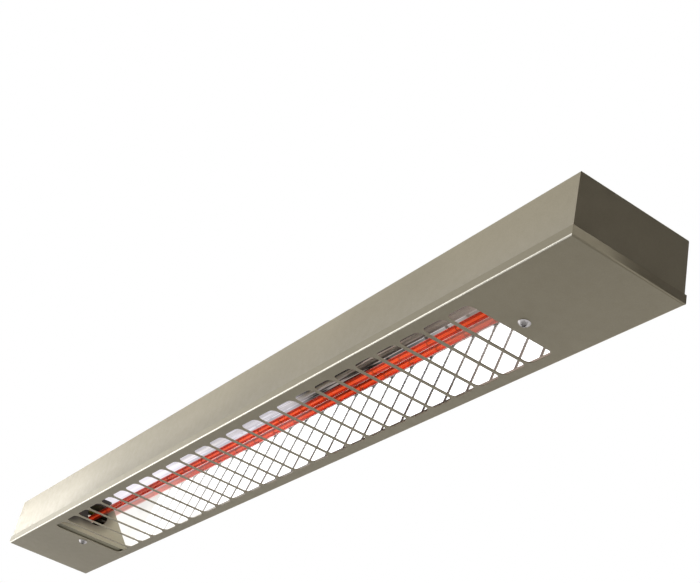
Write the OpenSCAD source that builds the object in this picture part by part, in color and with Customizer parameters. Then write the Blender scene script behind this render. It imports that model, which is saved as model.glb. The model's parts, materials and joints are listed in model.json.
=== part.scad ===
/* [Casing] */
// Length of the plain end beside each end of the grille
end_l = 143.25; // [122:0.25:170]
// Width of the face plate
body_w = 127; // [108:0.5:150]
// Depth from the mounting face to the face plate
body_h = 66; // [60:0.5:80]
// Sheet of the casing, its end caps and its bulkheads
box_sheet = 1.2; // [0.8:0.1:1.4]
// Outside radius of the casing's bends
box_bend = 2.2; // [1.8:0.1:3]
// Width of the lips that the casing's long sides turn in
lip_w = 5; // [4:0.25:6]
// Length of the tabs that hold the end caps
cap_tab = 12; // [10:0.5:14]

/* [Face plate] */
// Sheet of the face plate
plate_sheet = 1; // [0.8:0.1:1.2]
// Height of the rim that wraps round the casing
rim_h = 10; // [8:0.5:14]
// Outside radius of the rim's bend
plate_bend = 1.8; // [1.5:0.1:2.4]
// Gap between the rim and the casing
plate_gap = 0.2; // [0.15:0.05:0.3]
// Number of slots in the grille
slot_count = 25; // [9:2:27]
// Distance from one slot to the next
slot_pitch = 36.7; // [30:0.1:40]
// How far the grille and the right face screw sit left of the middle
grille_shift = 3.3; // [0:0.1:6]
// Width of the bars between the slots
bar_w = 4; // [3:0.25:6]
// Plain border beside the ends of the slots
slot_border = 13.2; // [9:0.1:20]
// Corner radius of a slot
slot_r = 7.2; // [3:0.2:10]

/* [Reflector] */
// Sheet of the reflector
mirror_sheet = 0.6; // [0.4:0.1:0.8]
// Depth of its roof below the mounting face
roof_depth = 6.6; // [5:0.2:8]
// Half width of its roof
roof_half = 13.2; // [11:0.1:16]
// Height of its mouth above the face plate's sheet
mouth_gap = 6.2; // [5:0.1:9]
// Distance from the casing's long side to the edge of its mouth
mouth_edge = 6.9; // [5:0.1:10]

/* [Lamp] */
// Outside diameter of the quartz tube
lamp_d = 8.6; // [7:0.1:11]
// Wall of the quartz tube
lamp_wall = 1; // [0.7:0.1:1.4]
// Depth of the lamp's axis below the mounting face
lamp_depth = 32; // [31:0.5:34]
// Distance from the end of the grille to the lamp's end
lamp_past = 43.5; // [41:0.5:44]
// Diameter of the ceramic bases
base_d = 12.4; // [12:0.2:14]
// Length of the ceramic bases
base_l = 24; // [20:0.5:26]
// Diameter of the coiled filament
coil_d = 2.6; // [1.6:0.1:3]
// How far the lamp floats each way between its sprung contacts
lamp_float = 1.5; // [0.5:0.1:2]

/* [Bulkheads] */
// How far the left bulkhead stands inside the end of the grille
left_inset = 9; // [0:0.5:12]
// How far the right bulkhead stands outside the end of the grille
right_offset = 1; // [0:0.5:3]
// Diameter of the opening round the lamp
lamp_opening = 30; // [26:0.5:42]
// Distance from the end of the grille to the end of the foot
foot_reach = 26; // [22:0.5:30]

/* [Face screws] */
// Distance from the left end of a centred grille to the left face screw
screw_past = 17.25; // [14:0.25:18]
// Thread diameter of a face screw
screw_d = 5; // [4:0.5:6]
// Head diameter
screw_head_d = 12; // [9:0.2:13]
// Head height
screw_head_h = 3.6; // [2.8:0.1:4.2]
// Length under the head
screw_l = 10; // [8:0.5:14]

/* [Lampholders] */
// Distance from the end of the grille to a lampholder
holder_past = 47.5; // [46:0.5:50]
// Length of a lampholder
holder_l = 20; // [18:0.5:22]
// Half width of a lampholder
holder_half_w = 9; // [7.5:0.5:10]
// Half height of a lampholder
holder_half_h = 13; // [12.5:0.5:14]
// Diameter of a contact plunger
plunger_d = 3.6; // [3:0.1:4]
// Sheet of the lampholder brackets
bracket_sheet = 1.5; // [1:0.1:2]

/* [Mounting] */
// Distance from the casing's end to a fixing hole
fixing_inset = 22.6; // [18:0.1:30]
// Distance from the casing's long side to a fixing hole
fixing_edge = 19.1; // [14:0.1:26]
// Diameter of the fixing holes
fixing_d = 6.5; // [5:0.5:7]

/* [Wiring] */
// Outside diameter of the heat-proof leads
lead_d = 3; // [2.4:0.1:3.2]
// Radius of the leads' bends
lead_bend = 4; // [3:0.25:4.5]
// Diameter of the gland's thread
gland_d = 20; // [18:0.5:22]
// Diameter of the supply cord that the gland takes
cord_d = 10; // [6:0.5:11]

/* [Hidden] */
$fn = 48;

// Clearances: flat faces, round fits, and the overrun of every cut
seat_gap = 0.1;
fit_gap = 0.07;
cut = 2;

// Outline of the casing
grille_half = (slot_count * slot_pitch - bar_w) / 2;
body_half_l = grille_half + end_l;
box_half_l = body_half_l - plate_sheet - plate_gap;
box_half_w = body_w / 2 - plate_sheet - plate_gap;
inner_half_w = box_half_w - box_sheet;
channel_half_l = box_half_l - box_sheet;
plate_inner_z = plate_sheet - body_h;
box_bottom_z = plate_inner_z + seat_gap;
box_h = -box_bottom_z;
lip_top_z = box_bottom_z + box_sheet;
ceiling_z = -box_sheet;
tab_relief = 8;
tab_z = ceiling_z - box_sheet;

// Rivets through the top of the casing
rivet_d = 3.2;
rivet_head_d = 5.4;
rivet_head_h = 0.8;
rivet_tail_d = 5;
rivet_tail_h = 1.2;
rivet_edge = 6;
rivet_side = 31.1;
cap_rivet_half = inner_half_w - rivet_side;
bulkhead_rivet_half = inner_half_w - rivet_side;
bracket_rivet_half = 6;

// Places that follow the casing's inside width and depth
slot_l = body_w - 2 * slot_border;
mouth_depth = -plate_inner_z - mouth_gap;
mouth_half = inner_half_w - mouth_edge;
fixing_x = channel_half_l - fixing_inset;
fixing_y = inner_half_w - fixing_edge;

// Screws, nuts and retainers of the face plate
screw_l_x = grille_half + screw_past;
screw_r_x = screw_l_x - grille_shift;
recess_l = 5.8;
recess_w = 1.3;
recess_h = 2;
retainer_h = 0.8;
retainer_d = 8.4;
nut_flats = 8;
nut_h = 4;
foot_z = plate_inner_z + retainer_h + 3 * seat_gap;
nut_z = foot_z + box_sheet;

// Bulkheads
bulkhead_l_x = grille_half - left_inset;
bulkhead_r_x = grille_half + right_offset;
bulkhead_tab = 12;
bulkhead_tab_side = 16.1;
bulkhead_tab_half = inner_half_w - bulkhead_tab_side;
foot_side = 8;
foot_half = inner_half_w - lip_w - foot_side;
lead_side = 9.1;
lead_y = inner_half_w - lead_side;
lead_z = -6.5;
grommet_d = 6.4;
grommet_flange_d = 7.8;
grommet_flange_h = 0.8;

// Reflector and the board above it
flange_edge = 1.6;
flange_half = inner_half_w - flange_edge;
board_margin = 10;

// Lamp
lamp_z = -lamp_depth;
lamp_end = grille_half + lamp_past;
base_start = lamp_end - base_l;
tube_seat = 6;
tube_end = base_start + tube_seat;
contact_recess = 6;
contact_recess_d = 5.2;
contact_h = 1;
contact_x = lamp_end - contact_recess;
wire_d = 1;
support_pitch = 46;
support_h = 0.5;
coil_stop = 12;

// Lampholders and their sprung contacts
holder_x = grille_half + holder_past;
holder_wall = 4;
holder_back = 3;
chamber_d = 7.8;
collar_d = 7;
collar_h = 2;
collar_x = holder_x + holder_wall + lamp_float + 1;
plunger_tail = 6;
plunger_end = holder_x + holder_l + plunger_tail;
spring_d = 5.8;
spring_wire_d = 0.7;
spring_turns = 5;
spring_x = collar_x + collar_h;
spring_end = holder_x + holder_l - holder_back - lamp_float - seat_gap;
bracket_x = holder_x + holder_l;
bracket_margin = 1;
bracket_foot = 14;
bracket_opening = 8;
holder_screw_d = 3;
holder_screw_l = 8;
holder_screw_head_d = 5.4;
holder_screw_head_h = 1.8;
holder_screw_z = 9.5;

// Leads and their ferrules
ferrule_d = 5.6;
ferrule_x = bracket_x + bracket_sheet + 1;
ferrule_l = 9;
ferrule_wall = 2;
lead_straight = 6.6;
lead_drop_x = ferrule_x + ferrule_l + lead_straight;
clip_count = 7;
clip_pitch = 130;
clip_l = 8;
clip_w = 9;
clip_h = 9;

// Terminal block: three ways along the casing
way_count = 3;
way_pitch = 14;
block_l = way_count * way_pitch;
block_w = 22;
block_h = 18;
block_side = 26.1;
block_y = block_side - inner_half_w;
block_x = (way_count - 1) / 2 * way_pitch - lead_drop_x;
block_top_z = ceiling_z;
tube_d = 5.9;
tube_wall = 1.15;
tube_bore_d = tube_d - 2 * tube_wall;
lead_entry = 5;
well_d = 4.8;
clamp_screw_d = 3.8;
clamp_screw_l = 8;
clamp_screw_y = 6;
block_screw_d = 3.2;
block_screw_head_d = 5.6;
block_screw_head_h = 2;
block_counterbore = 6;

// Earth stud
stud_y = 25;
stud_d = 4;
stud_l = 12;
washer_d = 9;
washer_h = 0.8;
earth_nut_flats = 7;
earth_nut_h = 3.2;
ring_d = 8;
ring_h = 1;
barrel_d = 4.4;
barrel_l = 7;

// Cable gland in the left end cap
gland_y = 22;
gland_z = (ceiling_z + rim_h - body_h) / 2;
gland_washer_d = 27;
gland_washer_h = 1.5;
gland_flats = 24;
gland_flange_h = 6;
gland_neck = 10;
gland_inside = 12;
gland_wall = 3;
gland_seal_l = 10.5;
dome_nut_h = 8;
dome_h = 5;
dome_wall = 2;
locknut_flats = 26;
locknut_h = 4;

// A profile drawn in Y and Z, swept along X between two places
module along_x(from, to) {
    translate([from, 0, 0])
        rotate([90, 0, 90])
            linear_extrude(height = to - from)
                children();
}

// A round bar along X between two places
module rod_x(from, to, d) {
    translate([from, 0, 0])
        rotate([0, 90, 0])
            cylinder(h = to - from, d = d);
}

// A box between two corners
module box_between(low, high) {
    translate(low)
        cube(high - low);
}

// A flat rectangle with round corners
module round_rect(w, h, r) {
    square([w - 2 * r, h], center = true);
    square([w, h - 2 * r], center = true);
    for (x = [-1, 1], y = [-1, 1])
        translate([x * (w / 2 - r), y * (h / 2 - r)])
            circle(r = r);
}

// A hexagonal prism measured across its flats
module hexagon(flats, h) {
    cylinder(h = h, d = flats / cos(30), $fn = 6);
}

// The casing's outline across its length, less a skin
module casing_outline(skin) {
    translate([0, box_bottom_z / 2])
        round_rect(2 * (box_half_w - skin), box_h - 2 * skin, box_bend - skin);
}

// The same piece at the left end, from the one drawn at the right end
module at_left() {
    mirror([1, 0, 0])
        children();
}

// Both ends
module at_both_ends() {
    children();
    at_left()
        children();
}

// Places of the rivets, as length, width and the thickness riveted under the top
cap_rivet_x = channel_half_l - rivet_edge;
bracket_rivet_x = bracket_x + bracket_sheet + bracket_foot / 2 + 1;
RIVETS = [
    for (side = [-1, 1], y = [-1, 1])
        each [
            [side * cap_rivet_x, y * cap_rivet_half, box_sheet],
            [side * bulkhead_x(side) + side * (box_sheet + rivet_edge), y * bulkhead_rivet_half, box_sheet],
            [side * bracket_rivet_x, y * bracket_rivet_half, bracket_sheet]
        ]
];
function bulkhead_x(side) = side < 0 ? bulkhead_l_x : bulkhead_r_x;

// A rivet set flush with the mounting face, or with a grown skin its hole
module rivet(under, skin = 0) {
    translate([0, 0, -rivet_head_h])
        cylinder(h = rivet_head_h, d1 = rivet_d + 2 * skin, d2 = rivet_head_d + 2 * skin);
    translate([0, 0, -box_sheet - under])
        cylinder(h = box_sheet + under, d = rivet_d + 2 * skin);
}

module rivet_holes() {
    for (place = RIVETS)
        translate([place.x, place.y, 0])
            rivet(place.z + cut, fit_gap);
}

// Casing: a channel folded from one sheet, with its lips turned in
module housing_channel() {
    color("#9a927e")
        difference() {
            along_x(-channel_half_l, channel_half_l)
                difference() {
                    casing_outline(0);
                    casing_outline(box_sheet);
                    translate([0, box_bottom_z])
                        square([2 * (inner_half_w - lip_w), 2 * cut], center = true);
                }
            for (x = [-1, 1], y = [-1, 1])
                translate([x * fixing_x, y * fixing_y, -cut])
                    cylinder(h = 2 * cut, d = fixing_d);
            for (x = [-1, 1])
                translate([block_x + x * way_pitch / 2, block_y, -cut])
                    cylinder(h = 2 * cut, d = block_screw_d + 2 * fit_gap);
            rivet_holes();
        }
}

// End cap at the right: a flat end with four tabs folded into the channel
module end_cap() {
    tab_x = channel_half_l - cap_tab;
    side_y = inner_half_w - seat_gap;
    lip_y = inner_half_w - lip_w - seat_gap;
    difference() {
        intersection() {
            rotate([0, 0, 90])
                along_x(-box_half_w, box_half_w)
                    translate([0, box_bottom_z / 2])
                        round_rect(2 * box_half_l, box_h, box_sheet);
            union() {
                along_x(channel_half_l, box_half_l)
                    casing_outline(0);
                box_between([tab_x, -side_y + tab_relief, tab_z], [box_half_l, side_y - tab_relief, ceiling_z]);
                box_between([tab_x, -lip_y + box_sheet, box_bottom_z],
                            [box_half_l, lip_y - box_sheet, box_bottom_z + box_sheet]);
                for (y = [-1, 1])
                    translate([0, y * (side_y - box_sheet / 2), 0])
                        box_between([tab_x, -box_sheet / 2, box_bottom_z + tab_relief],
                                    [box_half_l, box_sheet / 2, ceiling_z - tab_relief]);
            }
        }
        rivet_holes();
    }
}

module end_cap_right() {
    color("#5c5343")
        end_cap();
}

module end_cap_left() {
    color("#5c5343")
        difference() {
            at_left()
                end_cap();
            translate([-box_half_l, gland_y, gland_z])
                rod_x(-cut, box_sheet + cut, gland_d + 2 * fit_gap);
        }
}

// Bulkhead between the reflector and an end, with its foot and its tab turned outwards
module bulkhead(x, screw_x) {
    foot_x = grille_half + foot_reach;
    difference() {
        union() {
            along_x(x, x + box_sheet)
                casing_outline(box_sheet + seat_gap);
            box_between([x, -foot_half, foot_z], [foot_x, foot_half, foot_z + box_sheet]);
            box_between([x, -foot_half, foot_z], [x + box_sheet, foot_half, ceiling_z]);
            box_between([x, -bulkhead_tab_half, tab_z],
                        [x + box_sheet + bulkhead_tab, bulkhead_tab_half, ceiling_z]);
        }
        translate([x, 0, lamp_z])
            rod_x(-cut, box_sheet + cut, lamp_opening);
        translate([x, lead_y, lead_z])
            rod_x(-cut, box_sheet + cut, grommet_d + 2 * fit_gap);
        translate([screw_x, 0, foot_z - cut])
            cylinder(h = box_sheet + 2 * cut, d = screw_d + 2 * fit_gap);
        translate([0, 0, ceiling_z - box_sheet - cut])
            for (y = [-1, 1])
                translate([x + box_sheet + rivet_edge, y * bulkhead_rivet_half, 0])
                    cylinder(h = box_sheet + 2 * cut, d = rivet_d + 2 * fit_gap);
    }
}

module bulkhead_right() {
    color("#8a8270")
        bulkhead(bulkhead_r_x, screw_r_x);
}

module bulkhead_left() {
    color("#8a8270")
        at_left()
            bulkhead(bulkhead_l_x, screw_l_x);
}

// Weld nut on the foot of a bulkhead
module plate_nut(screw_x) {
    translate([screw_x, 0, nut_z])
        difference() {
            hexagon(nut_flats, nut_h);
            translate([0, 0, -cut])
                cylinder(h = nut_h + 2 * cut, d = screw_d + 2 * fit_gap);
        }
}

module plate_nut_right() {
    color("#b9b9b4")
        plate_nut(screw_r_x);
}

module plate_nut_left() {
    color("#b9b9b4")
        at_left()
            plate_nut(screw_l_x);
}

// Rivets that hold the end caps, the bulkheads and the lampholder brackets to the top
module blind_rivets() {
    color("#b0aea6")
        for (place = RIVETS)
            translate([place.x, place.y, 0]) {
                rivet(place.z);
                translate([0, 0, -box_sheet - place.z - rivet_tail_h])
                    cylinder(h = rivet_tail_h, d1 = rivet_d, d2 = rivet_tail_d);
            }
}

// Board of heat insulation between the reflector's roof and the top of the casing
module insulation_board() {
    half = roof_half + board_margin;
    color("#d9d4c4")
        box_between([-bulkhead_l_x + seat_gap, -half, -roof_depth + mirror_sheet + seat_gap],
                    [bulkhead_r_x - seat_gap, half, ceiling_z - seat_gap]);
}

// Reflector: points of its polished face, from the middle of the roof to the turned-down edge
MIRROR_HALF = [
    [roof_half, -roof_depth],
    [mouth_half, -mouth_depth],
    [flange_half, -mouth_depth],
    [flange_half, lip_top_z + seat_gap]
];
MIRROR_FACE = concat(
    [for (i = [len(MIRROR_HALF) - 1 : -1 : 0]) [-MIRROR_HALF[i].x, MIRROR_HALF[i].y]],
    MIRROR_HALF
);
function unit(v) = v / norm(v);
function left_of(v) = [-v.y, v.x];
function side_normal(path, i) = left_of(unit(path[i + 1] - path[i]));
function mitre(a, b) = (a + b) / (1 + a * b);
function offset_point(path, i, t) =
    i == 0 ? path[0] + t * side_normal(path, 0)
    : i == len(path) - 1 ? path[i] + t * side_normal(path, i - 1)
    : path[i] + t * mitre(side_normal(path, i - 1), side_normal(path, i));
function sheet_outline(path, t) = concat(
    path,
    [for (i = [len(path) - 1 : -1 : 0]) offset_point(path, i, t)]
);

module reflector() {
    color("#e6e6ea")
        along_x(-bulkhead_l_x + seat_gap, bulkhead_r_x - seat_gap)
            polygon(sheet_outline(MIRROR_FACE, mirror_sheet));
}

// Heat-proof bushes where the long lead passes the bulkheads
module lead_grommets() {
    color("#7c2f24")
        for (x = [-bulkhead_l_x - box_sheet, bulkhead_r_x])
            translate([x, lead_y, lead_z])
                difference() {
                    union() {
                        rod_x(-grommet_flange_h, box_sheet + grommet_flange_h, grommet_d);
                        rod_x(-grommet_flange_h, 0, grommet_flange_d);
                        rod_x(box_sheet, box_sheet + grommet_flange_h, grommet_flange_d);
                    }
                    rod_x(-cut, box_sheet + cut, lead_d + 2 * fit_gap);
                }
}

// Saddles that hold the long lead under the top of the casing
module lead_clips() {
    color("#d8d2c2")
        for (i = [0 : clip_count - 1])
            translate([(i - (clip_count - 1) / 2) * clip_pitch, lead_y, 0])
                difference() {
                    box_between([-clip_l / 2, -clip_w / 2, ceiling_z - clip_h], [clip_l / 2, clip_w / 2, ceiling_z]);
                    translate([0, 0, lead_z])
                        rod_x(-clip_l, clip_l, lead_d + 2 * fit_gap);
                }
}

// Bracket that carries the right lampholder from the top of the casing
module holder_bracket() {
    half = holder_half_w + bracket_margin;
    back = bracket_x + bracket_sheet;
    difference() {
        union() {
            box_between([bracket_x, -half, lamp_z - holder_half_h - bracket_margin], [back, half, ceiling_z]);
            box_between([bracket_x, -half, ceiling_z - bracket_sheet], [back + bracket_foot, half, ceiling_z]);
        }
        translate([bracket_x, 0, lamp_z]) {
            rod_x(-cut, bracket_sheet + cut, bracket_opening);
            for (z = [-1, 1])
                translate([0, 0, z * holder_screw_z])
                    rod_x(-cut, bracket_sheet + cut, holder_screw_d + 2 * fit_gap);
        }
        rivet_holes();
    }
}

module holder_bracket_right() {
    color("#a9a9a4")
        holder_bracket();
}

module holder_bracket_left() {
    color("#a9a9a4")
        at_left()
            holder_bracket();
}

// Ceramic lampholder with the chamber of its sprung contact
module lampholder() {
    shaft_bore = plunger_d + 2 * fit_gap;
    translate([holder_x, 0, lamp_z])
        difference() {
            box_between([0, -holder_half_w, -holder_half_h], [holder_l, holder_half_w, holder_half_h]);
            rod_x(-cut, holder_l + cut, shaft_bore);
            rod_x(holder_wall, holder_l - holder_back, chamber_d);
            for (z = [-1, 1])
                translate([0, 0, z * holder_screw_z])
                    rod_x(holder_l - holder_screw_l, holder_l + cut, holder_screw_d + 2 * fit_gap);
        }
}

module lampholder_right() {
    color("#ece8dc")
        lampholder();
}

module lampholder_left() {
    color("#ece8dc")
        at_left()
            lampholder();
}

// Screws that hold the lampholders to their brackets
module holder_screws() {
    back = bracket_x + bracket_sheet;
    color("#c0c0bc")
        at_both_ends()
            for (z = [-1, 1])
                translate([0, 0, lamp_z + z * holder_screw_z])
                    difference() {
                        union() {
                            rod_x(bracket_x - holder_screw_l + seat_gap, back, holder_screw_d);
                            rod_x(back, back + holder_screw_head_h, holder_screw_head_d);
                        }
                        translate([back + holder_screw_head_h, 0, 0])
                            cube([recess_h, recess_w, holder_screw_head_d + cut], center = true);
                    }
}

// Terminal block: places of its ways along the casing
function way_x(i) = block_x + (i - (way_count - 1) / 2) * way_pitch;

module terminal_block() {
    low = [block_x - block_l / 2, block_y - block_w / 2, block_top_z - block_h];
    color("#efebe0")
        difference() {
            box_between(low, low + [block_l, block_w, block_h]);
            for (i = [0 : way_count - 1]) {
                translate([way_x(i), block_y, lead_z])
                    rotate([90, 0, 0])
                        cylinder(h = block_w + cut, d = tube_d + 2 * fit_gap, center = true);
                for (y = [-1, 1])
                    translate([way_x(i), block_y + y * clamp_screw_y, low.z - cut])
                        cylinder(h = lead_z - low.z + cut, d = well_d);
            }
            for (x = [-1, 1])
                translate([block_x + x * way_pitch / 2, block_y, low.z - cut]) {
                    cylinder(h = block_h + 2 * cut, d = block_screw_d + 2 * fit_gap);
                    cylinder(h = block_counterbore + cut, d = block_screw_head_d + 2 * fit_gap);
                }
        }
}

// Brass tubes that the leads are clamped in
module terminal_tubes() {
    color("#c8a24a")
        for (i = [0 : way_count - 1])
            translate([way_x(i), block_y, lead_z])
                difference() {
                    rotate([90, 0, 0])
                        cylinder(h = block_w - 2 * seat_gap, d = tube_d, center = true);
                    rotate([90, 0, 0])
                        cylinder(h = block_w + cut, d = tube_bore_d, center = true);
                    for (y = [-1, 1])
                        translate([0, y * clamp_screw_y, -tube_d])
                            cylinder(h = tube_d, d = clamp_screw_d + 2 * fit_gap);
                }
}

// Clamping screws of the terminal block
module terminal_screws() {
    color("#c8a24a")
        for (i = [0 : way_count - 1], y = [-1, 1])
            translate([way_x(i), block_y + y * clamp_screw_y, lead_z - lead_d / 2 - seat_gap - clamp_screw_l])
                difference() {
                    cylinder(h = clamp_screw_l, d = clamp_screw_d);
                    cube([clamp_screw_d + cut, recess_w, recess_h], center = true);
                }
}

// Screws that hold the terminal block to the top of the casing
module terminal_fixings() {
    head_z = block_top_z - block_h + block_counterbore;
    color("#c0c0bc")
        for (x = [-1, 1])
            translate([block_x + x * way_pitch / 2, block_y, 0])
                difference() {
                    union() {
                        translate([0, 0, head_z])
                            cylinder(h = -head_z, d = block_screw_d);
                        translate([0, 0, head_z - block_screw_head_h])
                            cylinder(h = block_screw_head_h, d = block_screw_head_d);
                    }
                    translate([0, 0, head_z - block_screw_head_h])
                        cube([block_screw_head_d + cut, recess_w, recess_h], center = true);
                }
}

// Earth stud, with two washers, two nuts and the ring of its lead between them
earth_x = way_x(way_count - 1);
lower_washer_z = lead_z + ring_h / 2;

module at_stud(z) {
    translate([earth_x, stud_y, z])
        children();
}

module earth_stud() {
    color("#c0c0bc")
        at_stud(ceiling_z - stud_l)
            cylinder(h = stud_l, d = stud_d);
}

module earth_washers() {
    color("#b0aea6")
        for (z = [ceiling_z - washer_h, lower_washer_z])
            at_stud(z)
                difference() {
                    cylinder(h = washer_h, d = washer_d);
                    translate([0, 0, -cut])
                        cylinder(h = washer_h + 2 * cut, d = stud_d + 2 * fit_gap);
                }
}

module earth_nuts() {
    upper_z = lower_washer_z + washer_h;
    upper_h = ceiling_z - washer_h - upper_z;
    lower_z = lead_z - ring_h / 2 - earth_nut_h;
    color("#c8a24a")
        for (nut = [[upper_z, upper_h], [lower_z, earth_nut_h]])
            at_stud(nut[0])
                difference() {
                    hexagon(earth_nut_flats, nut[1]);
                    translate([0, 0, -cut])
                        cylinder(h = nut[1] + 2 * cut, d = stud_d + 2 * fit_gap);
                }
}

// A direction's frame, as the matrix that takes X, Y and Z to a, b and c at a place
function placed(a, b, c, at) = [
    [a.x, b.x, c.x, at.x],
    [a.y, b.y, c.y, at.y],
    [a.z, b.z, c.z, at.z],
    [0, 0, 0, 1]
];
function across(v) = abs(v.z) > 1 / 2 ? [1, 0, 0] : [0, 0, 1];

// A round lead along a route of right-angled turns
module lead(route, d, bend) {
    last = len(route) - 1;
    for (i = [0 : last - 1]) {
        along = unit(route[i + 1] - route[i]);
        start = route[i] + (i > 0 ? bend : 0) * along;
        stop = route[i + 1] - (i < last - 1 ? bend : 0) * along;
        multmatrix(placed(across(along), cross(along, across(along)), along, start))
            cylinder(h = norm(stop - start), d = d);
        if (i < last - 1) {
            turned = unit(route[i + 2] - route[i + 1]);
            centre = route[i + 1] + bend * (turned - along);
            multmatrix(placed(-turned, along, cross(-turned, along), centre))
                rotate_extrude(angle = 90)
                    translate([bend, 0])
                        circle(d = d, $fn = 24);
        }
    }
}

// Ferrule that slides over the tail of the right contact plunger
module ferrule() {
    translate([ferrule_x, 0, lamp_z])
        difference() {
            rod_x(0, ferrule_l, ferrule_d);
            rod_x(-cut, ferrule_l - ferrule_wall, plunger_d + 2 * fit_gap);
        }
}

ferrule_end = ferrule_x + ferrule_l - ferrule_wall / 2;
lead_end_y = block_y + block_w / 2 - lead_entry;

// Lead from the first way of the terminal block to the left lampholder
module lead_live() {
    way = way_x(0);
    color("#d8cfc0") {
        at_left()
            ferrule();
        lead([
            [-ferrule_end, 0, lamp_z],
            [way, 0, lamp_z],
            [way, 0, lead_z],
            [way, lead_end_y, lead_z]
        ], lead_d, lead_bend);
    }
}

// Lead from the second way, past both bulkheads, to the right lampholder
module lead_return() {
    way = way_x(1);
    color("#c9c0b2") {
        ferrule();
        lead([
            [ferrule_end, 0, lamp_z],
            [lead_drop_x, 0, lamp_z],
            [lead_drop_x, 0, lead_z],
            [lead_drop_x, lead_y, lead_z],
            [way, lead_y, lead_z],
            [way, lead_end_y, lead_z]
        ], lead_d, lead_bend);
    }
}

// Earth lead, with its ring, from the third way to the stud
module lead_earth() {
    ring_y = stud_y - washer_d / 2 - seat_gap;
    color("#7fa04a") {
        translate([earth_x, lead_end_y, lead_z])
            rotate([-90, 0, 0])
                cylinder(h = ring_y - lead_end_y, d = lead_d);
        translate([earth_x, ring_y - barrel_l, lead_z])
            rotate([-90, 0, 0])
                cylinder(h = barrel_l - ring_h, d = barrel_d);
        at_stud(lead_z - ring_h / 2)
            difference() {
                union() {
                    cylinder(h = ring_h, d = ring_d);
                    box_between([-barrel_d / 2, ring_y - stud_y - 2 * ring_h, 0], [barrel_d / 2, 0, ring_h]);
                }
                translate([0, 0, -cut])
                    cylinder(h = ring_h + 2 * cut, d = stud_d + 2 * fit_gap);
            }
    }
}

// Cable gland, drawn outwards from the left end cap
gland_bore_d = gland_d - 2 * gland_wall;
seal_start = gland_washer_h + gland_flange_h + 1 / 2 * gland_washer_h;
seal_end = seal_start + gland_seal_l;
neck_end = gland_washer_h + gland_flange_h + gland_neck;
dome_nut_z = gland_washer_h + gland_flange_h + 2 * seat_gap;

module at_gland() {
    translate([-box_half_l, gland_y, gland_z])
        rotate([0, -90, 0])
            children();
}

module gland_washer() {
    color("#2b2b2b")
        at_gland()
            difference() {
                cylinder(h = gland_washer_h, d = gland_washer_d);
                translate([0, 0, -cut])
                    cylinder(h = gland_washer_h + 2 * cut, d = gland_d + 2 * fit_gap);
            }
}

module gland_body() {
    color("#3a3a3a")
        at_gland()
            difference() {
                union() {
                    translate([0, 0, -gland_inside])
                        cylinder(h = gland_inside + gland_washer_h + gland_flange_h + gland_neck, d = gland_d);
                    translate([0, 0, gland_washer_h])
                        hexagon(gland_flats, gland_flange_h);
                }
                translate([0, 0, -gland_inside - cut])
                    cylinder(h = gland_inside + neck_end + 2 * cut, d = gland_bore_d);
            }
}

module gland_seal() {
    color("#1f1f1f")
        at_gland()
            translate([0, 0, seal_start])
                difference() {
                    cylinder(h = gland_seal_l, d = gland_bore_d - 2 * fit_gap);
                    translate([0, 0, -cut])
                        cylinder(h = gland_seal_l + 2 * cut, d = cord_d);
                }
}

module gland_dome_nut() {
    inner_h = max(seal_end, neck_end) + seat_gap - dome_nut_z;
    color("#3a3a3a")
        at_gland()
            translate([0, 0, dome_nut_z])
                difference() {
                    union() {
                        hexagon(gland_flats, dome_nut_h);
                        cylinder(h = inner_h, d = gland_flats);
                        translate([0, 0, inner_h])
                            cylinder(h = dome_wall, d1 = gland_flats, d2 = gland_flats - 2 * dome_wall);
                    }
                    translate([0, 0, -cut])
                        cylinder(h = inner_h + cut, d = gland_d + 2 * fit_gap);
                    cylinder(h = inner_h + dome_wall + cut, d = cord_d + dome_wall);
                }
}

module gland_locknut() {
    color("#3a3a3a")
        at_gland()
            translate([0, 0, -box_sheet - locknut_h])
                difference() {
                    hexagon(locknut_flats, locknut_h);
                    translate([0, 0, -cut])
                        cylinder(h = locknut_h + 2 * cut, d = gland_d + 2 * fit_gap);
                }
}

// Lamp: ruby quartz tube
module lamp_tube() {
    color("#d8402a")
        translate([0, 0, lamp_z])
            difference() {
                rod_x(-tube_end, tube_end, lamp_d);
                rod_x(-tube_end - cut, tube_end + cut, lamp_d - 2 * lamp_wall);
            }
}

// Coiled filament, drawn as its outer cylinder, with the wires to its contacts
module lamp_filament() {
    color("#ff8040")
        translate([0, 0, lamp_z]) {
            rod_x(-grille_half + coil_stop, grille_half - coil_stop, coil_d);
            rod_x(-contact_x + contact_h, contact_x - contact_h, wire_d);
        }
}

// Rings that keep the filament in the middle of the tube
module filament_supports() {
    count = floor((grille_half - coil_stop) / support_pitch);
    color("#8c8c90")
        for (i = [-count : count])
            translate([i * support_pitch - support_h / 2, 0, lamp_z])
                difference() {
                    rod_x(0, support_h, lamp_d - 2 * lamp_wall - 2 * fit_gap);
                    rod_x(-cut, support_h + cut, coil_d + 2 * fit_gap);
                }
}

// Ceramic base cemented on the right end of the tube
module lamp_base() {
    translate([0, 0, lamp_z])
        difference() {
            rod_x(base_start, lamp_end, base_d);
            rod_x(base_start - cut, tube_end + seat_gap, lamp_d + 2 * fit_gap);
            rod_x(base_start, lamp_end, wire_d + 2 * fit_gap);
            rod_x(contact_x - contact_h, lamp_end + cut, contact_recess_d);
        }
}

module lamp_base_right() {
    color("#eae6da")
        lamp_base();
}

module lamp_base_left() {
    color("#eae6da")
        at_left()
            lamp_base();
}

// Contact discs at the bottom of the bases' recesses
module lamp_contacts() {
    color("#b8b8bc")
        at_both_ends()
            translate([0, 0, lamp_z])
                rod_x(contact_x - contact_h, contact_x, contact_recess_d - 2 * fit_gap);
}

// Sprung contact of the right lampholder
module contact_plunger() {
    translate([0, 0, lamp_z]) {
        rod_x(contact_x, plunger_end, plunger_d);
        rod_x(collar_x, collar_x + collar_h, collar_d);
    }
}

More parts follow.
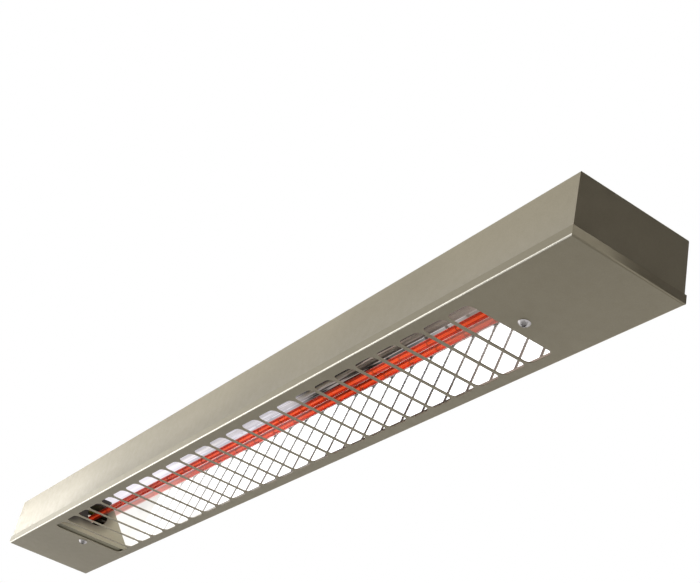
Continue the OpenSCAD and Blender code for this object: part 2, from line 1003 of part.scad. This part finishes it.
module contact_plunger_right() {
    color("#c8a24a")
        contact_plunger();
}

module contact_plunger_left() {
    color("#c8a24a")
        at_left()
            contact_plunger();
}

// Coil spring behind the plunger's collar: rings of the wire along its helix
spring_steps = 12;
spring_sides = 6;
spring_rings = spring_turns * spring_steps;
spring_low = spring_x + spring_wire_d / 2 + seat_gap / 2;
spring_rise = spring_end - spring_wire_d / 2 - spring_low;
function spring_point(ring, side) =
    let (
        turn = 360 * ring / spring_steps,
        lean = 360 * side / spring_sides,
        reach = spring_d / 2 + spring_wire_d / 2 * cos(lean)
    )
    [
        spring_low + spring_rise * ring / spring_rings + spring_wire_d / 2 * sin(lean),
        reach * cos(turn),
        reach * sin(turn)
    ];

module plunger_spring() {
    points = [
        for (ring = [0 : spring_rings], side = [0 : spring_sides - 1])
            spring_point(ring, side)
    ];
    quads = [
        for (ring = [0 : spring_rings - 1], side = [0 : spring_sides - 1])
            let (
                next = (side + 1) % spring_sides,
                a = ring * spring_sides
            )
            [a + side, a + next, a + spring_sides + next, a + spring_sides + side]
    ];
    triangles = [for (q = quads) each [[q[0], q[1], q[2]], [q[0], q[2], q[3]]]];
    first = [for (side = [1 : spring_sides - 2]) [0, side + 1, side]];
    top = spring_rings * spring_sides;
    end = [for (side = [1 : spring_sides - 2]) [top, top + side, top + side + 1]];
    translate([0, 0, lamp_z])
        polyhedron(points = points, faces = concat(triangles, first, end));
}

module plunger_spring_right() {
    color("#9a9a9e")
        plunger_spring();
}

module plunger_spring_left() {
    color("#9a9a9e")
        at_left()
            plunger_spring();
}

// A shallow tray's body, with its lower edges rounded on all four sides
module tray_body(half_l, half_w, low, high, r) {
    intersection() {
        along_x(-half_l, half_l)
            tray_profile(half_w, low, high, r);
        rotate([0, 0, 90])
            along_x(-half_w, half_w)
                tray_profile(half_l, low, high, r);
    }
}

module tray_profile(half, low, high, r) {
    translate([-half, low + r])
        square([2 * half, high - low - r]);
    translate([-half + r, low])
        square([2 * (half - r), r + r]);
    for (side = [-1, 1])
        translate([side * (half - r), low + r])
            circle(r = r);
}

// Face plate: a tray with a ladder of slots
module face_plate() {
    top_z = rim_h - body_h;
    color("#7b7462")
        difference() {
            tray_body(body_half_l, body_w / 2, -body_h, top_z, plate_bend);
            tray_body(body_half_l - plate_sheet, body_w / 2 - plate_sheet, plate_inner_z, top_z + cut,
                      plate_bend - plate_sheet);
            for (i = [0 : slot_count - 1])
                translate([(i - (slot_count - 1) / 2) * slot_pitch - grille_shift, 0, -body_h - cut])
                    linear_extrude(height = plate_sheet + 2 * cut)
                        round_rect(slot_pitch - bar_w, slot_l, slot_r);
            for (place = [-screw_l_x, screw_r_x])
                translate([place, 0, -body_h - cut])
                    cylinder(h = plate_sheet + 2 * cut, d = screw_d + 4 * fit_gap);
        }
}

// Pan-head screw with a cross recess
module face_screw(screw_x) {
    dome_r = (screw_head_d * screw_head_d / 4 + screw_head_h * screw_head_h) / (2 * screw_head_h);
    translate([screw_x, 0, -body_h])
        difference() {
            union() {
                cylinder(h = screw_l, d = screw_d);
                intersection() {
                    translate([0, 0, -screw_head_h])
                        cylinder(h = screw_head_h, d = screw_head_d);
                    translate([0, 0, dome_r - screw_head_h])
                        sphere(r = dome_r);
                }
            }
            for (turn = [0, 90])
                rotate([0, 0, turn])
                    translate([0, 0, -screw_head_h])
                        cube([recess_l, recess_w, 2 * recess_h], center = true);
        }
}

module face_screw_right() {
    color("#c8c4cc")
        face_screw(screw_r_x);
}

module face_screw_left() {
    color("#c8c4cc")
        at_left()
            face_screw(screw_l_x);
}

// Push-on retainer that keeps a face screw in the plate
module screw_retainer(screw_x) {
    translate([screw_x, 0, plate_inner_z + seat_gap])
        difference() {
            cylinder(h = retainer_h, d = retainer_d);
            translate([0, 0, -cut])
                cylinder(h = retainer_h + 2 * cut, d = screw_d + fit_gap);
        }
}

module screw_retainer_right() {
    color("#2f2f33")
        screw_retainer(screw_r_x);
}

module screw_retainer_left() {
    color("#2f2f33")
        at_left()
            screw_retainer(screw_l_x);
}

housing_channel();
end_cap_left();
end_cap_right();
bulkhead_left();
bulkhead_right();
plate_nut_left();
plate_nut_right();
blind_rivets();
insulation_board();
reflector();
lead_grommets();
lead_clips();
holder_bracket_left();
holder_bracket_right();
lampholder_left();
lampholder_right();
holder_screws();
terminal_block();
terminal_tubes();
terminal_screws();
terminal_fixings();
earth_stud();
earth_washers();
earth_nuts();
lead_live();
lead_return();
lead_earth();
gland_washer();
gland_body();
gland_seal();
gland_dome_nut();
gland_locknut();
lamp_tube();
lamp_filament();
filament_supports();
lamp_base_left();
lamp_base_right();
lamp_contacts();
contact_plunger_left();
contact_plunger_right();
plunger_spring_left();
plunger_spring_right();
face_plate();
face_screw_left();
face_screw_right();
screw_retainer_left();
screw_retainer_right();
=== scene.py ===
import json
import math

import bpy
from mathutils import Euler, Matrix, Vector


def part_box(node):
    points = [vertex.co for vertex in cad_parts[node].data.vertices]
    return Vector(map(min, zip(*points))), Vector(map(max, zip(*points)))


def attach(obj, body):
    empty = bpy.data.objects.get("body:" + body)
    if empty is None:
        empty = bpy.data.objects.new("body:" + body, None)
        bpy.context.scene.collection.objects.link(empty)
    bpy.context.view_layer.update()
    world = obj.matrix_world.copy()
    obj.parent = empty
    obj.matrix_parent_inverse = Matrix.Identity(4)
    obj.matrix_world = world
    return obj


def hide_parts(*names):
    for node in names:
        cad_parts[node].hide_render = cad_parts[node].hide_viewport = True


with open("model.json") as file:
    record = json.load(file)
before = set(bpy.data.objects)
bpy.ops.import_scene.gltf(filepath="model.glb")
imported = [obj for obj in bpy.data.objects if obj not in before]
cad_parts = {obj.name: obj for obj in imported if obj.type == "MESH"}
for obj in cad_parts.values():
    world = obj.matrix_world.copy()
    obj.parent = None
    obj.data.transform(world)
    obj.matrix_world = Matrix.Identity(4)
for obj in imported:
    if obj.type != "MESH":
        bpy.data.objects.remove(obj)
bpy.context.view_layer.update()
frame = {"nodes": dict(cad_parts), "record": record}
nodes = frame["nodes"]
MM = 0.001

# Camera: below the heater and beyond its right end; its place in metres, its turn in degrees
LENS = 69.02
CAMERA_PLACE = Vector((1.28186, -0.59917, -0.69013))
CAMERA_TURN = (122.348, -11.52, 55.181)

# The filament's coil: its radius, its wire's radius, and how finely it is drawn
COIL_RADIUS = 1.1 * MM
COIL_WIRE = 0.25 * MM
COIL_PITCH = 1.6 * MM
COIL_STEPS = 12
COIL_SIDES = 6

# Heights below the mounting face
LAMP_HEIGHT = -32 * MM
SIDE_MIDDLE = -33 * MM
RIM_MIDDLE = -58 * MM

# Depth of the paint's orange peel
PEEL = 0.018 * MM

# How far the face plate's rim leans out, as a slope
RIM_TILT = 0.3

# How much the casing's long sides are dished, per metre
SIDE_DISH = 5.0

# Floor under the heater: its height, half its width, and how fast it fades outwards
FLOOR_HEIGHT = -3.2
FLOOR_HALF = 3.0
FLOOR_FADE = 0.35

# Strength of the light from all round, against the white backdrop's 1
SOFT_LIGHT = 0.42

# Soft boxes: place, point they face, width in metres, power in watts
SOFT_BOXES = {
    "left_box": ((-3.0, -0.85, 0.8), (-0.3, 0.0, -0.03), 1.1, 4.8),
    "end_box": ((-1.05, -0.22, 0.16), (-0.6, -0.06, -0.05), 0.2, 0.3),
    "low_box": ((-1.8, -1.1, -0.65), (0.0, 0.0, -0.05), 1.6, 9.5),
    "kicker": ((-0.34, 0.0, -0.035), (-0.45, 0.0, -0.04), 0.03, 0.02),
    "holder_light": ((-0.45, 0.0, -0.018), (-0.5, 0.0, -0.03), 0.008, 0.006),
}
SMALL_LIGHTS = ("kicker", "holder_light")

# Height of the low card's plane, and of the foot of the card at the left
LOW_CARD = -1.19


def shade(code):
    """A linear colour from a web colour."""
    parts = [int(code[i : i + 2], 16) / 255 for i in (1, 3, 5)]
    return tuple(p / 12.92 if p < 0.04045 else ((p + 0.055) / 1.055) ** 2.4 for p in parts) + (1.0,)


BLACK = shade("#000000")


class Wire:
    """A value between two nodes; sums, products and comparisons of wires add Math nodes."""

    def __init__(self, graph, socket):
        self.graph = graph
        self.socket = socket

    def math(self, how, *values):
        return self.graph.add("ShaderNodeMath", {"operation": how}, values)

    def __add__(self, other):
        return self.math("ADD", self, other)

    def __sub__(self, other):
        return self.math("SUBTRACT", self, other)

    def __rsub__(self, other):
        return self.math("SUBTRACT", other, self)

    def __mul__(self, other):
        return self.math("MULTIPLY", self, other)

    def __gt__(self, other):
        return self.math("GREATER_THAN", self, other)

    __radd__ = __add__
    __rmul__ = __mul__


class Graph:
    """The nodes of one finish, or of the world."""

    def __init__(self, tree):
        self.tree = tree
        tree.nodes.clear()

    def add(self, kind, settings=None, inputs=(), out=0):
        """Adds a node: its settings first, then the values or wires of its sockets."""
        node = self.tree.nodes.new(kind)
        for name, value in (settings or {}).items():
            setattr(node, name, value)
        named = inputs.items() if isinstance(inputs, dict) else enumerate(inputs)
        for key, value in named:
            self.feed(node.inputs[key], value)
        return Wire(self, node.outputs[out]) if node.outputs else None

    def feed(self, socket, value):
        if isinstance(value, Wire):
            self.tree.links.new(value.socket, socket)
        else:
            socket.default_value = value

    def place(self, stretch=(1.0, 1.0, 1.0)):
        """The place on the piece, in metres, stretched along its axes."""
        spot = self.add("ShaderNodeTexCoord", out="Object")
        return self.add("ShaderNodeVectorMath", {"operation": "MULTIPLY"}, [spot, stretch])

    def noise(self, size, detail=2.0, stretch=(1.0, 1.0, 1.0)):
        """Noise whose marks are about as long as size, in metres."""
        return self.add(
            "ShaderNodeTexNoise",
            inputs={"Vector": self.place(stretch), "Scale": 1 / size, "Detail": detail},
        )

    def cells(self, size, out="Distance"):
        """Cells about as wide as size, in metres."""
        return self.add(
            "ShaderNodeTexVoronoi", inputs={"Vector": self.place(), "Scale": 1 / size}, out=out
        )

    def mix(self, share, first, second):
        """A colour between two colours."""
        return self.add("ShaderNodeMix", {"data_type": "RGBA"}, {0: share, 6: first, 7: second}, 2)

    def fade(self, wire, start, end, low=0.0, high=1.0):
        """A soft step: low up to the start, high past the end."""
        return self.add(
            "ShaderNodeMapRange",
            {"interpolation_type": "SMOOTHSTEP"},
            {"Value": wire, "From Min": start, "From Max": end, "To Min": low, "To Max": high},
        )

    def axes(self, spot):
        """The three numbers of a vector."""
        x = self.add("ShaderNodeSeparateXYZ", inputs=[spot])
        return x, Wire(self, x.socket.node.outputs[1]), Wire(self, x.socket.node.outputs[2])

    def facing(self):
        """The direction that the surface faces, as three numbers."""
        return self.axes(self.add("ShaderNodeNewGeometry", out="Normal"))

    def spread(self, wire, low, high):
        """Widens the middle of a noise to a range from low to high."""
        return self.add(
            "ShaderNodeMapRange",
            inputs={"Value": wire, "From Min": 0.3, "From Max": 0.7, "To Min": low, "To Max": high},
        )

    def bump(self, height, depth=1.0):
        """A relief of that depth, in metres; at depth 1 the height is in metres."""
        return self.add(
            "ShaderNodeBump", inputs={"Height": height, "Distance": depth, "Strength": 1.0}
        )


class Finish(Graph):
    """A material around one Principled shader."""

    def __init__(self, name, **constants):
        self.material = bpy.data.materials.new(name)
        self.material.use_nodes = True
        super().__init__(self.material.node_tree)
        self.shader = self.tree.nodes.new("ShaderNodeBsdfPrincipled")
        self.output = self.tree.nodes.new("ShaderNodeOutputMaterial")
        self.tree.links.new(self.shader.outputs[0], self.output.inputs["Surface"])
        for key, value in constants.items():
            self.set(key.replace("_", " ").title().replace("Ior", "IOR"), value)

    def set(self, socket, value):
        self.feed(self.shader.inputs[socket], value)
        return self


def satin_skin(name, tone, metallic=0.55, rough=0.42):
    """Champagne powder coat: its finish, tint, roughness and orange-peel skin."""
    paint = Finish(name, metallic=metallic, coat_weight=0.15, coat_roughness=0.35)
    pale = tuple(min(1.0, c * 1.1) for c in tone[:3]) + (1.0,)
    deep = tuple(c * 0.88 for c in tone[:3]) + (1.0,)
    flake = paint.cells(0.6 * MM, out="Color")
    flake_share = paint.add("ShaderNodeSeparateColor", inputs=[flake])
    cloud = paint.noise(0.16, detail=1.0)
    share = flake_share * 0.45 + paint.spread(cloud, 0.0, 0.55)
    skin = paint.noise(2.2 * MM, detail=1.0) + 0.25 * paint.noise(0.5 * MM, detail=1.0)
    dullness = paint.spread(paint.noise(9 * MM), rough - 0.04, rough + 0.05)
    return paint, paint.mix(share, deep, pale), dullness, skin


def satin_paint(name, tone):
    """The paint of the casing, whose long sides are dished a little."""
    paint, tint, rough, skin = satin_skin(name, tone)
    paint.set("Base Color", tint).set("Roughness", rough)
    front, side, up = paint.facing()
    along, across, height = paint.axes(paint.place())
    above = height - SIDE_MIDDLE
    dish = above * above * side * side * SIDE_DISH
    paint.set("Normal", paint.bump(skin * PEEL + dish))
    return paint.material


def tray_paint(name, tone):
    """The paint of the face plate: glossy on its bends, with a painted highlight there, painted
    shade on its inner side and towards its right end, and its rim painted darker to the right and
    lighter to the left.
    """
    paint, tint, rough, skin = satin_skin(name, tone)
    front, side, up = paint.facing()
    bend = paint.fade(4.0 * side * side * up * up, 0.1, 0.6)
    along, across, height = paint.axes(paint.place())
    # Painted shade: the plate goes darker towards its right end
    tint = paint.mix(paint.fade(along, -0.2, 0.45) * 0.24, tint, shade("#6E6450"))
    # Painted light and shade on the rim: darker to the right, lighter to the left
    rim = paint.mix(paint.fade(along, 0.1, -0.5), shade("#99927D"), shade("#A8A28F"))
    tint = paint.mix(side * side * 0.5, tint, rim)
    # Painted highlight: the bends are painted near white, besides being glossier
    tint = paint.mix(bend, tint, shade("#FFFAEC"))
    # Painted shade: the inner side, which faces up, is painted dark grey
    paint.set("Base Color", paint.mix(up > 0.5, tint, shade("#5C5A52")))
    paint.set("Roughness", rough - 0.14 * bend)
    end_tilt = front * front * paint.fade(across, 0.055, -0.06, 0.0, 0.65)
    tilt = (height - RIM_MIDDLE) * (side * side * RIM_TILT + end_tilt)
    paint.set("Normal", paint.bump(skin * PEEL + tilt))
    return paint.material


def bulkhead_skin(name, clean, dark_tone):
    """The paint of the bulkheads: darker round the lamp, and a painted shadow of the face plate's
    near border towards one upper corner.
    """
    paint, tint, rough, skin = satin_skin(name, clean, metallic=0.1, rough=0.6)
    along, across, height = paint.axes(paint.place())
    # Painted shadow of the face plate's near border, towards one upper corner
    border_shadow = paint.fade(across - 0.9 * height, 50 * MM, 8 * MM)
    border_shadow = border_shadow * paint.fade(height, -64 * MM, -50 * MM, 0.35, 1.0)
    # Darker round the lamp
    above = height - LAMP_HEIGHT
    darker_round_lamp = paint.fade(across * across + above * above, (30 * MM) ** 2, (10 * MM) ** 2, 0.0, 0.6)
    paint.set("Base Color", paint.mix(border_shadow + darker_round_lamp, tint, dark_tone)).set("Roughness", rough)
    paint.set("Normal", paint.bump(skin, PEEL))
    return paint.material


def polished_trough(name):
    """Polished aluminium with fine rolling lines; it emits a painted glow with painted glints, and
    has painted dark reflections.
    """
    metal = Finish(name, metallic=1.0)
    strand = metal.noise(0.2, detail=3.0, stretch=(0.6, 400.0, 400.0))
    smear = metal.noise(60 * MM, detail=2.0)
    sheen = metal.mix(metal.spread(smear, 0.0, 1.0), shade("#F6F6FA"), shade("#FFFFFF"))
    metal.set("Roughness", metal.spread(strand, 0.02, 0.06))
    metal.set("Normal", metal.bump(strand, 0.004 * MM))
    along, across, height = metal.axes(metal.place())
    wall = metal.fade(height, -20.5 * MM, -23.5 * MM)
    roof = metal.fade(height, -12 * MM, -8 * MM)

    # Painted glow, emitted by the mirror: strong to the left, on the walls more than on the roof,
    # with painted glints in streaks on the roof
    left = metal.fade(along, -0.15, -0.32) * (wall * 0.3 + roof * 0.05 + 0.38)
    left = left + metal.fade(along, -0.30, -0.40) * wall * 0.28
    middle = metal.fade(along, 0.09, 0.03) * (roof * 0.5 + 0.1)
    right = metal.fade(along, 0.28, 0.38) * 0.16 + metal.fade(along, 0.16, 0.32) * roof * 0.07
    patch = metal.spread(metal.noise(0.02, detail=1.0, stretch=(0.5, 1.0, 1.0)), 0.85, 1.05)
    painted_glint = metal.noise(0.03, detail=1.0, stretch=(0.4, 16.0, 16.0))
    painted_glint = metal.fade(painted_glint, 0.56, 0.64) * metal.fade(along, 0.34, 0.2) * roof * 0.35
    painted_glow = (left + middle + right) * patch + painted_glint

    # Painted dark reflections: a strip just under the roof, a line just under the lamp, and the
    # band below it where the lamp is reflected
    under_roof_dark = metal.fade(height, -6.5 * MM, -7.1 * MM) * metal.fade(height, -9.5 * MM, -8.8 * MM)
    under_roof_dark = under_roof_dark * (metal.fade(along, 0.06, 0.10) * metal.fade(along, 0.33, 0.26) * 0.3 + 0.6)
    under_lamp_dark = metal.fade(height, -15.5 * MM, -16.3 * MM) * metal.fade(height, -18.5 * MM, -17.7 * MM)
    band_dark = metal.fade(height, -17.8 * MM, -18.6 * MM) * metal.fade(height, -28 * MM, -26 * MM)
    painted_dark = under_roof_dark + under_lamp_dark * 0.25 + band_dark * metal.fade(along, 0.26, 0.36) * 0.3

    # The painted glow's colour: cool to the left, salmon as a painted reflection of the lamp beside
    # it, warm to the right
    lamp_glow_band = metal.fade(height, -16.5 * MM, -17.5 * MM) * metal.fade(height, -23.5 * MM, -21.5 * MM)
    cool = metal.mix(wall, shade("#F4F0FA"), shade("#FFFDFA"))
    glow_colour = metal.mix(lamp_glow_band * 0.7, cool, shade("#FFAE98"))
    glow_colour = metal.mix(metal.fade(along, 0.0, 0.2), glow_colour, shade("#F2DCCE"))
    # Where the painted glow and painted dark lines lie, the mirror's colour goes towards black, and
    # the glow is emitted instead
    metal.set("Base Color", metal.mix(painted_glow * 0.85 + painted_dark, sheen, BLACK))
    metal.set("Emission Color", metal.mix(painted_glow, BLACK, glow_colour))
    metal.set("Emission Strength", 1.0)
    return metal.material


def plated_metal(name, tone, rough):
    """Small plated or turned metal pieces with a faint spangle."""
    metal = Finish(name, metallic=1.0)
    cells = metal.cells(1.5 * MM, out="Color")
    share = metal.add("ShaderNodeSeparateColor", inputs=[cells])
    deep = tuple(c * 0.8 for c in tone[:3]) + (1.0,)
    metal.set("Base Color", metal.mix(share, deep, tone))
    metal.set("Roughness", rough + 0.12 * metal.noise(3 * MM))
    metal.set("Normal", metal.bump(metal.noise(0.7 * MM), 0.01 * MM))
    return metal.material


def moulded(name, tone, rough):
    """Moulded plastic, rubber or silicone with a fine grain."""
    skin = Finish(name)
    deep = tuple(c * 0.88 for c in tone[:3]) + (1.0,)
    skin.set("Base Color", skin.mix(skin.spread(skin.noise(14 * MM), 0.0, 1.0), deep, tone))
    skin.set("Roughness", skin.spread(skin.noise(5 * MM), rough - 0.05, rough + 0.07))
    skin.set("Normal", skin.bump(skin.noise(0.6 * MM), 0.02 * MM))
    return skin.material


def pressed_ceramic(name):
    """Steatite: matt, off-white, with fine pits and a few brown specks."""
    clay = Finish(name)
    speck = clay.cells(2.6 * MM)
    body = clay.mix(clay.spread(clay.noise(8 * MM), 0.0, 1.0), shade("#D9D2C2"), shade("#E9E4D8"))
    dots = clay.add("ShaderNodeMath", {"operation": "LESS_THAN"}, [speck, 0.1])
    clay.set("Base Color", clay.mix(dots * 0.5, body, shade("#8C7A5E")))
    clay.set("Roughness", clay.spread(clay.noise(2 * MM), 0.55, 0.7))
    pits = clay.noise(0.5 * MM, detail=3.0)
    clay.set("Normal", clay.bump(pits, 0.05 * MM))
    return clay.material


def pressed_board(name):
    """Mineral insulation board: fibres laid flat in a pale binder."""
    board = Finish(name)
    fibres = board.noise(30 * MM, detail=4.0, stretch=(1.0, 9.0, 9.0))
    share = board.spread(fibres, 0.0, 1.0)
    board.set("Base Color", board.mix(share, shade("#B9B2A2"), shade("#DAD5C8")))
    board.set("Roughness", board.spread(fibres, 0.8, 0.95))
    board.set("Normal", board.bump(fibres, 0.15 * MM))
    return board.material


def braided_sleeve(name, tone, tracer):
    """Glass-fibre sleeving: a fine diamond braid with a coloured tracer."""
    sleeve = Finish(name)
    braid = sleeve.add(
        "ShaderNodeTexWave",
        {"bands_direction": "DIAGONAL"},
        {"Vector": sleeve.place(), "Scale": 160.0, "Distortion": 0.6},
    )
    cross = sleeve.add(
        "ShaderNodeTexWave",
        {"bands_direction": "DIAGONAL"},
        {"Vector": sleeve.place((-1.0, 1.0, 1.0)), "Scale": 160.0, "Distortion": 0.6},
    )
    weave = braid * cross
    stripe = sleeve.add("ShaderNodeTexWave", inputs={"Vector": sleeve.place(), "Scale": 36.0})
    yarn = sleeve.mix((stripe > 0.86) * 0.8, tone, tracer)
    deep = tuple(c * 0.55 for c in tone[:3]) + (1.0,)
    sleeve.set("Base Color", sleeve.mix(weave, deep, yarn))
    sleeve.set("Roughness", 0.9 - 0.2 * weave)
    sleeve.set("Normal", sleeve.bump(weave, 0.12 * MM))
    return sleeve.material


def lamp_ends(finish):
    """How far a spot lies towards the lamp's cooler ends, the left one more than the right."""
    along, across, height = finish.axes(finish.place())
    return finish.fade(along, -0.05, -0.3) + finish.fade(along, 0.22, 0.4) * 0.5


def ruby_glass(name):
    """The quartz tube, dyed ruby: it filters the filament's light. Its emission is a painted glow
    of the filament seen through it, with painted shade towards its edges.
    """
    glass = Finish(name, transmission_weight=1.0, ior=1.2, emission_strength=1.0)
    drift = glass.spread(glass.noise(0.05, detail=1.0), 0.0, 1.0)
    glass.set("Base Color", glass.mix(drift, shade("#B84228"), shade("#C04A2E")))
    slant = glass.add("ShaderNodeLayerWeight", inputs={"Blend": 0.5}, out="Facing")
    # Painted glow: the filament's light seen through the glass, dimmer towards the ends
    glow = glass.mix(drift, shade("#7C3A18"), shade("#88401C"))
    glow = glass.mix(lamp_ends(glass), glow, shade("#5A2C16"))
    # Painted shade: the glow turns dark red where the tube's surface turns away
    glass.set("Emission Color", glass.mix(glass.fade(slant, 0.1, 0.62), glow, shade("#280402")))
    glass.set("Roughness", glass.spread(glass.noise(3 * MM), 0.0, 0.03))
    return glass.material


def glowing_coil(name):
    """Tungsten at full heat, a little uneven, and cooler towards its ends."""
    wire = Finish(name, metallic=1.0, roughness=0.35)
    heat = wire.spread(wire.noise(0.03, detail=1.0), 0.0, 1.0)
    wire.set("Base Color", shade("#8A8078"))
    hot = wire.mix(heat, shade("#FFE2C4"), shade("#FFF2E0"))
    wire.set("Emission Color", wire.mix(lamp_ends(wire), hot, shade("#B8A690")))
    wire.set("Emission Strength", 1.3)
    return wire.material


TAUPE = shade("#A89F88")
FINISHES = {
    "casing_paint": satin_paint("casing_paint", TAUPE),
    "plate_paint": tray_paint("plate_paint", TAUPE),
    "bulkhead_paint": bulkhead_skin("bulkhead_paint", shade("#A8A28A"), shade("#221C12")),
    "zinc": plated_metal("zinc", shade("#C2C6C8"), 0.3),
    "rivet_aluminium": plated_metal("rivet_aluminium", shade("#C9CBCD"), 0.38),
    "board": pressed_board("board"),
    "mirror_aluminium": polished_trough("mirror_aluminium"),
    "silicone": moulded("silicone", shade("#9B3A2C"), 0.5),
    "clip_plastic": moulded("clip_plastic", shade("#E4E1D6"), 0.45),
    "ceramic": pressed_ceramic("ceramic"),
    "brass": plated_metal("brass", shade("#C9A45A"), 0.28),
    "lead_sleeve": braided_sleeve("lead_sleeve", shade("#E6E0D0"), shade("#A5742F")),
    # The earth sleeve's yellow is painted darker and duller, as painted shade
    "earth_sleeve": braided_sleeve("earth_sleeve", shade("#9C9238"), shade("#2F6A3A")),
    "gland_rubber": moulded("gland_rubber", shade("#26272A"), 0.65),
    "gland_plastic": moulded("gland_plastic", shade("#3A3B3E"), 0.48),
    "ruby_quartz": ruby_glass("ruby_quartz"),
    "filament": glowing_coil("filament"),
    "contact_steel": plated_metal("contact_steel", shade("#B9BABD"), 0.25),
    "screw_steel": plated_metal("screw_steel", shade("#C4C0C0"), 0.34),
    "retainer_plastic": moulded("retainer_plastic", shade("#EEEBE2"), 0.4),
}

# Each CAD node takes the finish of its slot
for subpart in frame["record"]["subparts"]:
    for held in nodes[subpart["node"]].material_slots:
        held.material = FINISHES[subpart["material_slot"]]


def new_piece(name, points, faces, smooth=True):
    """A mesh piece from its points and faces."""
    mesh = bpy.data.meshes.new(name)
    mesh.from_pydata(points, [], faces)
    mesh.polygons.foreach_set("use_smooth", [smooth] * len(faces))
    mesh.update()
    piece = bpy.data.objects.new(name, mesh)
    bpy.context.scene.collection.objects.link(piece)
    return piece


def wound_wire(start, end):
    """Points and faces of the coil's wire, wound in a helix along X, with flat ends."""
    turns = (end.x - start.x) / COIL_PITCH
    count = round(turns * COIL_STEPS)
    points, faces = [], []
    for step in range(count + 1):
        angle = 2 * math.pi * step / COIL_STEPS
        out = Vector((0.0, math.cos(angle), math.sin(angle)))
        centre = start.lerp(end, step / count) + out * COIL_RADIUS
        for side in range(COIL_SIDES):
            turn = 2 * math.pi * side / COIL_SIDES
            rim = out * math.cos(turn) + Vector((math.sin(turn), 0.0, 0.0))
            points.append(centre + COIL_WIRE * rim)
    for step in range(count):
        low = step * COIL_SIDES
        high = low + COIL_SIDES
        for side in range(COIL_SIDES):
            after = (side + 1) % COIL_SIDES
            faces.append((low + side, low + after, high + after, high + side))
    faces.append(tuple(range(COIL_SIDES)))
    faces.append(tuple(len(points) - 1 - side for side in range(COIL_SIDES)))
    return points, faces


# The filament: its fine coil in place of the CAD's plain rod
rod_low, rod_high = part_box("lamp_filament")
middle = (rod_low + rod_high) / 2
coil_start = Vector((rod_low.x + COIL_WIRE, middle.y, middle.z))
coil_end = Vector((rod_high.x - COIL_WIRE, middle.y, middle.z))
coil = new_piece("filament_coil", *wound_wire(coil_start, coil_end))
coil.data.materials.append(FINISHES["filament"])
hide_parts("lamp_filament")
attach(coil, "lamp")

# Floor: pale, fading into the white backdrop
floor_signs = [(-1, -1), (1, -1), (1, 1), (-1, 1)]
floor_corners = [(x * FLOOR_HALF, y * FLOOR_HALF, FLOOR_HEIGHT) for x, y in floor_signs]
floor = new_piece("floor", floor_corners, [(0, 1, 2, 3)], False)
ground = Finish("floor", roughness=0.9)
ground.set("Base Color", ground.mix(ground.noise(0.5), shade("#D4D3D0"), shade("#DAD9D6")))
fade = ground.place((FLOOR_FADE, FLOOR_FADE, 0.0))
fade = ground.add("ShaderNodeVectorMath", {"operation": "LENGTH"}, [fade], "Value")
glow = ground.add("ShaderNodeEmission", inputs={"Strength": 1.0})
rays = ground.add("ShaderNodeLightPath", out="Is Camera Ray")
matt = Wire(ground, ground.shader.outputs[0])
seen = ground.add("ShaderNodeMixShader", inputs=[rays * ground.fade(fade, 0.4, 1.0), matt, glow])
ground.feed(ground.output.inputs["Surface"], seen)
floor.data.materials.append(ground.material)

# World: a white backdrop, and soft light from all round
world = bpy.data.worlds.new("studio")
bpy.context.scene.world = world
world.use_nodes = True
studio = Graph(world.node_tree)
path = studio.add("ShaderNodeLightPath", out="Is Camera Ray")
mirrored = studio.add("ShaderNodeLightPath", out="Is Glossy Ray")
through = studio.add("ShaderNodeLightPath", out="Is Transmission Ray")
backdrop = studio.add("ShaderNodeMath", {"operation": "MAXIMUM"}, [path, mirrored])
backdrop = studio.add("ShaderNodeMath", {"operation": "MAXIMUM"}, [backdrop, through])
strength = backdrop * (1 - SOFT_LIGHT) + SOFT_LIGHT
sky = studio.add("ShaderNodeBackground", inputs={"Color": shade("#FFFFFF"), "Strength": strength})
studio.add("ShaderNodeOutputWorld", inputs={"Surface": sky})


def soft_box(name, place, target, width, power):
    """A square area lamp that faces a point."""
    light = bpy.data.lights.new(name, "AREA")
    light.size = width
    light.energy = power
    lamp = bpy.data.objects.new(name, light)
    lamp.location = place
    lamp.rotation_mode = "QUATERNION"
    lamp.rotation_quaternion = (target - place).to_track_quat("-Z", "Y")
    lamp.visible_camera = False
    bpy.context.scene.collection.objects.link(lamp)
    return lamp


for name, (place, target, width, power) in SOFT_BOXES.items():
    light = soft_box(name, Vector(place), Vector(target), width, power)
    light.visible_glossy = name not in SMALL_LIGHTS

# Dark cards beyond both ends and below the left one, which the camera doesn't see
umber = Finish("dark_card", base_color=shade("#33261A"), roughness=0.9).material
CARDS = {
    "side_card": [(1.5, -2.0, -0.12), (1.5, 2.0, -0.12), (1.5, 2.0, 2.1), (1.5, -2.0, 2.1)],
    "left_card": [
        (-2.4, 0.3, LOW_CARD),
        (-2.4, 2.6, LOW_CARD),
        (-2.4, 2.6, -0.68),
        (-2.4, 0.3, -0.68),
    ],
    "floor_card": [
        (-1.65, -0.9, LOW_CARD),
        (-1.25, -0.9, LOW_CARD),
        (-1.25, 0.9, LOW_CARD),
        (-1.65, 0.9, LOW_CARD),
    ],
}
for name, corners in CARDS.items():
    card = new_piece(name, corners, [(0, 1, 2, 3)], False)
    card.data.materials.append(umber)
    card.visible_camera = False

# Camera
lens = bpy.data.cameras.new("camera")
lens.lens = LENS
camera = bpy.data.objects.new("camera", lens)
turn = Euler([math.radians(angle) for angle in CAMERA_TURN]).to_matrix().to_4x4()
camera.matrix_world = Matrix.Translation(CAMERA_PLACE) @ turn
bpy.context.scene.collection.objects.link(camera)
bpy.context.scene.camera = camera
bpy.context.scene.view_settings.view_transform = "Standard"
